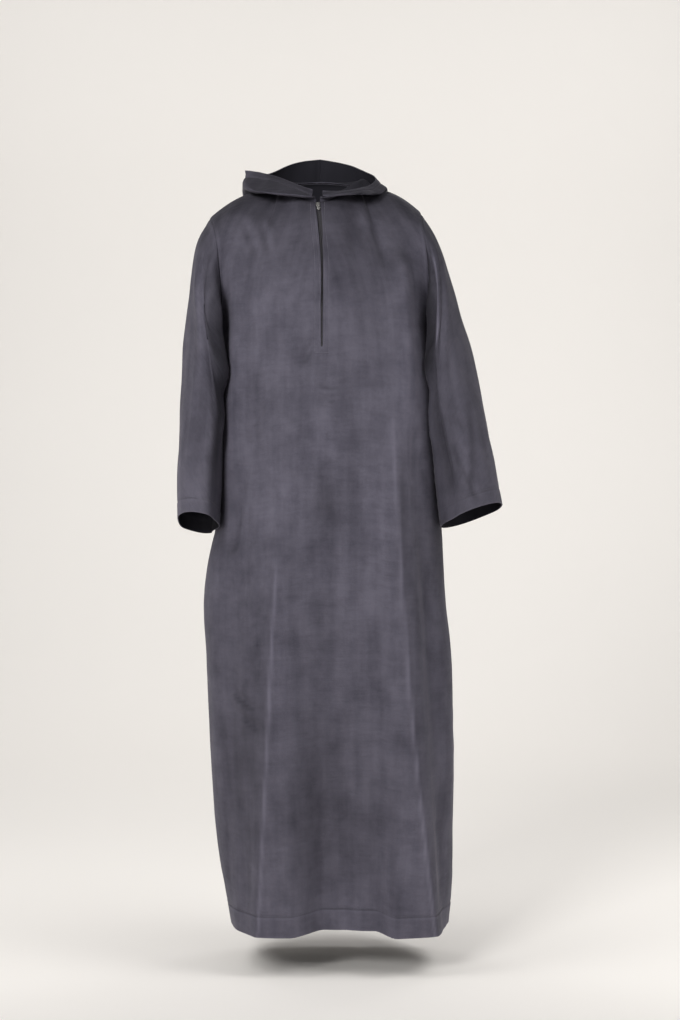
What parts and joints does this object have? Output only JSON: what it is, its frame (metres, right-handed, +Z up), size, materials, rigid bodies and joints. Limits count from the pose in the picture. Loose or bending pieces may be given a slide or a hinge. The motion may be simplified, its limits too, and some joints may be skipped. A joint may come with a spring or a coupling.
{
  "type": "hooded thobe robe",
  "caption": "Worn ankle-length hooded robe with wide set-in sleeves, a lowered hood and a chest zip with a swinging pull tab.",
  "frame": {"origin": "between the shoulders, level with the place where the neck meets them, where the wearer's shoulders carry the robe", "axes": "+Z up, the front faces -Y, +X towards the wearer's left"},
  "size_m": [0.611, 0.3446, 1.4692],
  "materials": {
    "robe_cloth": "soft brushed velour, dull with a low sheen",
    "zip_tape": "woven tape with a nylon coil",
    "zip_metal": "bright plated"
  },
  "bodies": {
    "robe": {"front_panel": "robe_cloth", "back_panel": "robe_cloth", "sleeve_right": "robe_cloth", "sleeve_left": "robe_cloth", "hood_right": "robe_cloth", "hood_left": "robe_cloth", "zip_tape": "zip_tape", "zip_slider": "zip_metal"},
    "zip_pull": {"zip_pull": "zip_metal"}
  },
  "joints": [
    {"name": "zip_pull_swing", "type": "hinge", "parent": "robe", "child": "zip_pull", "pos_m": [-0.00279, -0.09346, -0.04087], "axis": [-0.9935, -0.0519, -0.1016], "range_deg": [0, 120]}
  ]
}
